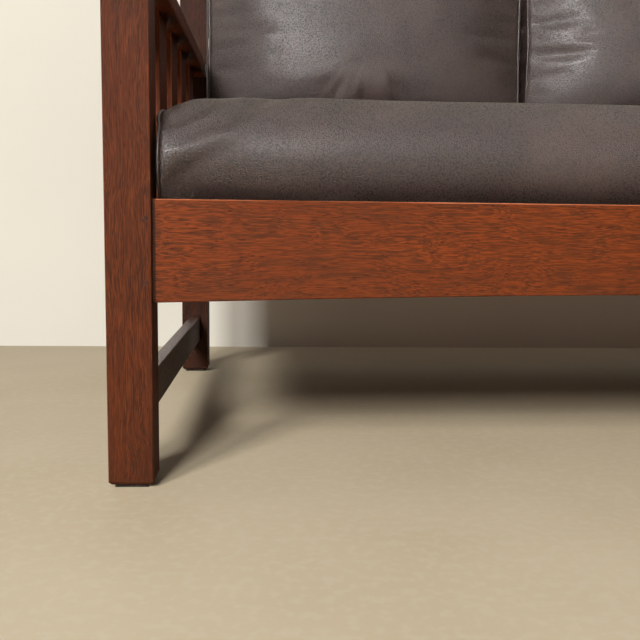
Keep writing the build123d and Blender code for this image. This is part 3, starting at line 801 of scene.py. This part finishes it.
def backCushion(name, seed):
    # Rings of a square with rounded corners: from the middle of the back face out to its seam,
    # forward over the side panel, and in over the crowned front face to its middle
    low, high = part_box(name)
    radius = back["weltRadius"]
    centre = (low[0] + high[0]) / 2
    half = (high[0] - low[0]) / 2 - radius
    height = high[2] - low[2] - 2 * radius
    base = low[2] + radius
    wall = high[1] - radius - 0.0005
    shares = np.array(back["shares"])
    around, backRows, boxRows, frontRows = (
        back[key] for key in ("around", "backRows", "boxRows", "frontRows"))
    # once round a square from the middle of its right side, then rounded at the corners
    turn = np.arange(around) / around * 8
    a = np.clip(np.abs((turn + 4) % 8 - 4) * -1 + 2, -1, 1)
    b = np.clip(np.abs((turn + 2) % 8 - 4) * -1 + 2, -1, 1)
    square = np.stack([a, b], 1)
    power = back["corner"]
    rounded = square / (np.abs(square) ** power).sum(1, keepdims=True) ** (1 / power)
    ring = np.concatenate([
        np.linspace(0, 1, backRows + 1)[1:], np.ones(boxRows),
        np.linspace(1, 0, frontRows + 1)[1:-1]])
    depth = np.concatenate([
        np.zeros(backRows), np.linspace(0, 1, boxRows + 1)[1:], np.ones(frontRows - 1)])
    front = np.concatenate([np.zeros(backRows + boxRows), np.ones(frontRows - 1)])

    def solid(u, v, depth, front):
        # u and v run from -1 to 1 over the face; depth goes over the side panel, and front
        # lets the crown rise, which falls to the seam all round
        up = (v + 1) / 2
        thick = np.interp(up, shares[:, 0], shares[:, 1]) * back["thickness"]
        pull = np.interp(up, shares[:, 0], shares[:, 2]) * back["sidePull"]
        box = thick * back["boxing"]
        crown = (thick - box) * (1 - np.abs(u) ** 2.2) * (1 - np.clip(np.abs(v), 0, 1) ** 6)
        x = centre + u * (half - pull * np.abs(u))
        y = wall - box * depth - crown * front * back["crown"]
        z = base + height * up - back["topPull"] * (1 - u ** 2) * np.clip(v, 0, 1) ** 2
        return np.stack([x, y, z], -1)

    skin = solid(ring[:, None] * rounded[None, :, 0], ring[:, None] * rounded[None, :, 1],
                 depth[:, None], front[:, None])
    rows = len(ring)
    middle = np.zeros(1)
    points = np.concatenate([
        skin.reshape(-1, 3), solid(middle, middle, 0.0, 0.0), solid(middle, middle, 1.0, 1.0)])
    j = np.arange(around)
    k = (j + 1) % around
    last = (rows - 1) * around
    triangles = np.concatenate([
        np.stack([np.full(around, rows * around), k, j], -1),
        np.stack([np.full(around, rows * around + 1), last + j, last + k], -1)])
    piece = meshPiece(name + "_cover", points, ringFaces(rows, around), triangles)
    outward(piece)
    backSeam = (backRows - 1) * around + j
    frontSeam = (backRows + boxRows - 1) * around + j
    stuff(piece, np.concatenate([backSeam, frontSeam]), back)
    x, y, z = roughen(piece, back, seed).T
    x = np.clip(x, low[0] + back["skin"], high[0] - back["skin"])
    y = np.clip(y, low[1] - back["forward"], high[1] - back["skin"])
    z = np.maximum(z, low[2] + back["skin"])
    setPoints(piece, np.stack([x, y, z], 1))
    final = getPoints(piece)
    out = square / np.linalg.norm(square, axis=1, keepdims=True) * back["weltStand"]
    for label, seam in (("back", backSeam), ("front", frontSeam)):
        loop = final[seam]
        loop[:, 0] = np.clip(loop[:, 0] + out[:, 0], low[0] + radius, high[0] - radius)
        loop[:, 2] = np.maximum(loop[:, 2] + out[:, 1], low[2] + radius + 0.0002)
        welt(f"{name}_{label}_welt", name, evenLoop(loop, back["weltPoints"]), radius)
    finishCushion(piece, name, [backSeam, frontSeam])


for number, side in enumerate(("left", "middle", "right")):
    backCushion("back_cushion_" + side, back["firstSeed"] + number)
print("back cushions stuffed")


# The room: a pale floor, a plain wall behind the settle, and soft lamps
room = {
    "wallColour": (224, 219, 207), "wallShade": (222, 217, 205),
    "wallPlace": 0.72, "wallReach": 8, "wallHeight": 4,
    "floorColour": (234, 216, 183), "floorShade": (226, 207, 173), "floorFleck": (240, 228, 203),
    "floorReach": 20,
    "backdrop": (176, 172, 164),
    "ambient": 0.10,
}
softBoxes = [
    # name, place, aimed at, size, watts, and whether it lights the room as well
    ("front", (-2.30, -6.34, 3.20), (-0.8, -0.2, 0.2), (1.2, 1.2), 312.0, True),
    ("front_left", (-3.82, -5.58, 3.75), (-0.9, -0.37, 0.1), (1.2, 1.2), 253.0, True),
    ("high", (-0.6, -3.6, 4.4), (-0.2, -0.3, 0.3), (2.2, 1.4), 34.0, False),
    ("behind", (-0.8, 3.6, 2.2), (0.0, 0.2, 0.45), (2.2, 1.4), 130.0, False),
    ("right", (3.6, 2.3, 1.9), (0.5, 0.0, 0.4), (1.8, 1.4), 60.0, False),
    ("overhead", (0.2, -0.2, 3.2), (0.1, 0.0, 0.4), (2.6, 1.6), 19.0, False),
]


def floorFinish():
    finish = Finish("pale_floor")
    spot = finish.place()
    cloud = finish.noise(spot, 2.6, 2.0, 0.6)
    fleck = finish.noise(spot, 75.0, 1.0, 0.65)
    tone = finish.mix(
        cloud.step(0.30, 0.72), linear(room["floorShade"]), linear(room["floorColour"]))
    tone = finish.mix(fleck.step(0.42, 0.72) * 0.3, tone, linear(room["floorFleck"]))
    return finish.surface(baseColor=tone, roughness=0.55 + cloud * 0.15, specularIorLevel=0.25)


def wallFinish():
    # seen from behind, the wall lets the settle show through
    finish = Finish("pale_wall")
    cloud = finish.noise(finish.place(), 3.0, 2.0, 0.6)
    tone = finish.mix(cloud.step(0.36, 0.66), linear(room["wallShade"]), linear(room["wallColour"]))
    paint = finish.node("ShaderNodeBsdfDiffuse", {}, {"Color": tone})
    clear = finish.node("ShaderNodeBsdfTransparent")
    behind = finish.node("ShaderNodeNewGeometry", output=6)
    both = finish.node("ShaderNodeMixShader", {}, {0: behind, 1: paint, 2: clear})
    finish.node("ShaderNodeOutputMaterial", {}, {"Surface": both})
    return finish.material


def roomPiece(name, reach, first, second, material):
    # one face across the room, whose two sides are at (Y, Z) first and second
    corners = [(-reach, *first), (reach, *first), (reach, *second), (-reach, *second)]
    return meshPiece(name, corners, [(0, 1, 2, 3)], material=material, smooth=False)


far, place = room["floorReach"], room["wallPlace"]
floor = roomPiece("floor", far, (-far, 0), (far, 0), floorFinish())
wall = roomPiece(
    "wall", room["wallReach"], (place, 0), (place, room["wallHeight"]), wallFinish())
wall.visible_shadow = wall.visible_diffuse = False

world = bpy.data.worlds.new("room")
scene.world = world
world.use_nodes = True
light = Finish("room", world.node_tree)
paths = light.node("ShaderNodeLightPath")
ray = {socket.name: Flow(light, socket) for socket in paths.socket.node.outputs}
seen = ray["Is Camera Ray"].most(ray["Is Glossy Ray"]).most(ray["Is Transmission Ray"])
ambient = light.node(
    "ShaderNodeBackground", {}, {"Color": (1, 1, 1, 1), "Strength": room["ambient"]})
backdrop = light.node(
    "ShaderNodeBackground", {}, {"Color": linear(room["backdrop"]), "Strength": 1.0})
both = light.node("ShaderNodeMixShader", {}, {0: seen, 1: ambient, 2: backdrop})
light.node("ShaderNodeOutputWorld", {}, {"Surface": both})


def stand(item, right, up, away, place):
    # lamps and the camera look against their own third axis, which is away
    matrix = np.eye(4)
    matrix[:3] = np.stack([right, up, away, place], 1)
    item.matrix_world = Matrix(matrix.tolist())


def softBox(name, place, target, size, watts, whole):
    # turned so that it looks from place at target
    lamp = bpy.data.lights.new(name, "AREA")
    lamp.shape = "RECTANGLE"
    lamp.size, lamp.size_y = size
    lamp.energy = watts
    item = bpy.data.objects.new(name, lamp)
    scene.collection.objects.link(item)
    away = np.array(place, float) - np.array(target, float)
    away /= np.linalg.norm(away)
    right = np.cross((0, 0, 1), away)
    right /= np.linalg.norm(right)
    stand(item, right, np.cross(away, right), away, place)
    if not whole:
        item.light_linking.receiver_collection = settlePieces


settlePieces = bpy.data.collections.new("settle_pieces")
for item in list(scene.objects):
    if item.type == "MESH" and item not in (floor, wall):
        settlePieces.objects.link(item)
for values in softBoxes:
    softBox(*values)

cameraValues = {
    "place": (-0.7747, -1.3439, 0.3050),
    "focalPixels": 847.4, "picturePixels": 640, "sensor": 36.0,
    "down": 6.57, "right": 2.97, "roll": 0.66,
}


def makeCamera():
    # turned to the right, then down, then rolled about its own line of sight
    c = cameraValues
    down, right, roll = (math.radians(c[key]) for key in ("down", "right", "roll"))
    level = np.array([math.sin(right), math.cos(right), 0.0])
    ahead = level * math.cos(down) - np.array([0.0, 0.0, math.sin(down)])
    side = np.array([math.cos(right), -math.sin(right), 0.0])
    up = np.cross(side, ahead)
    data = bpy.data.cameras.new("camera")
    data.sensor_width = c["sensor"]
    data.lens = c["focalPixels"] / c["picturePixels"] * data.sensor_width
    item = bpy.data.objects.new("camera", data)
    scene.collection.objects.link(item)
    stand(item, side * math.cos(roll) + up * math.sin(roll),
          up * math.cos(roll) - side * math.sin(roll), -ahead, c["place"])
    scene.camera = item


makeCamera()
print("room, lamps and camera ready")
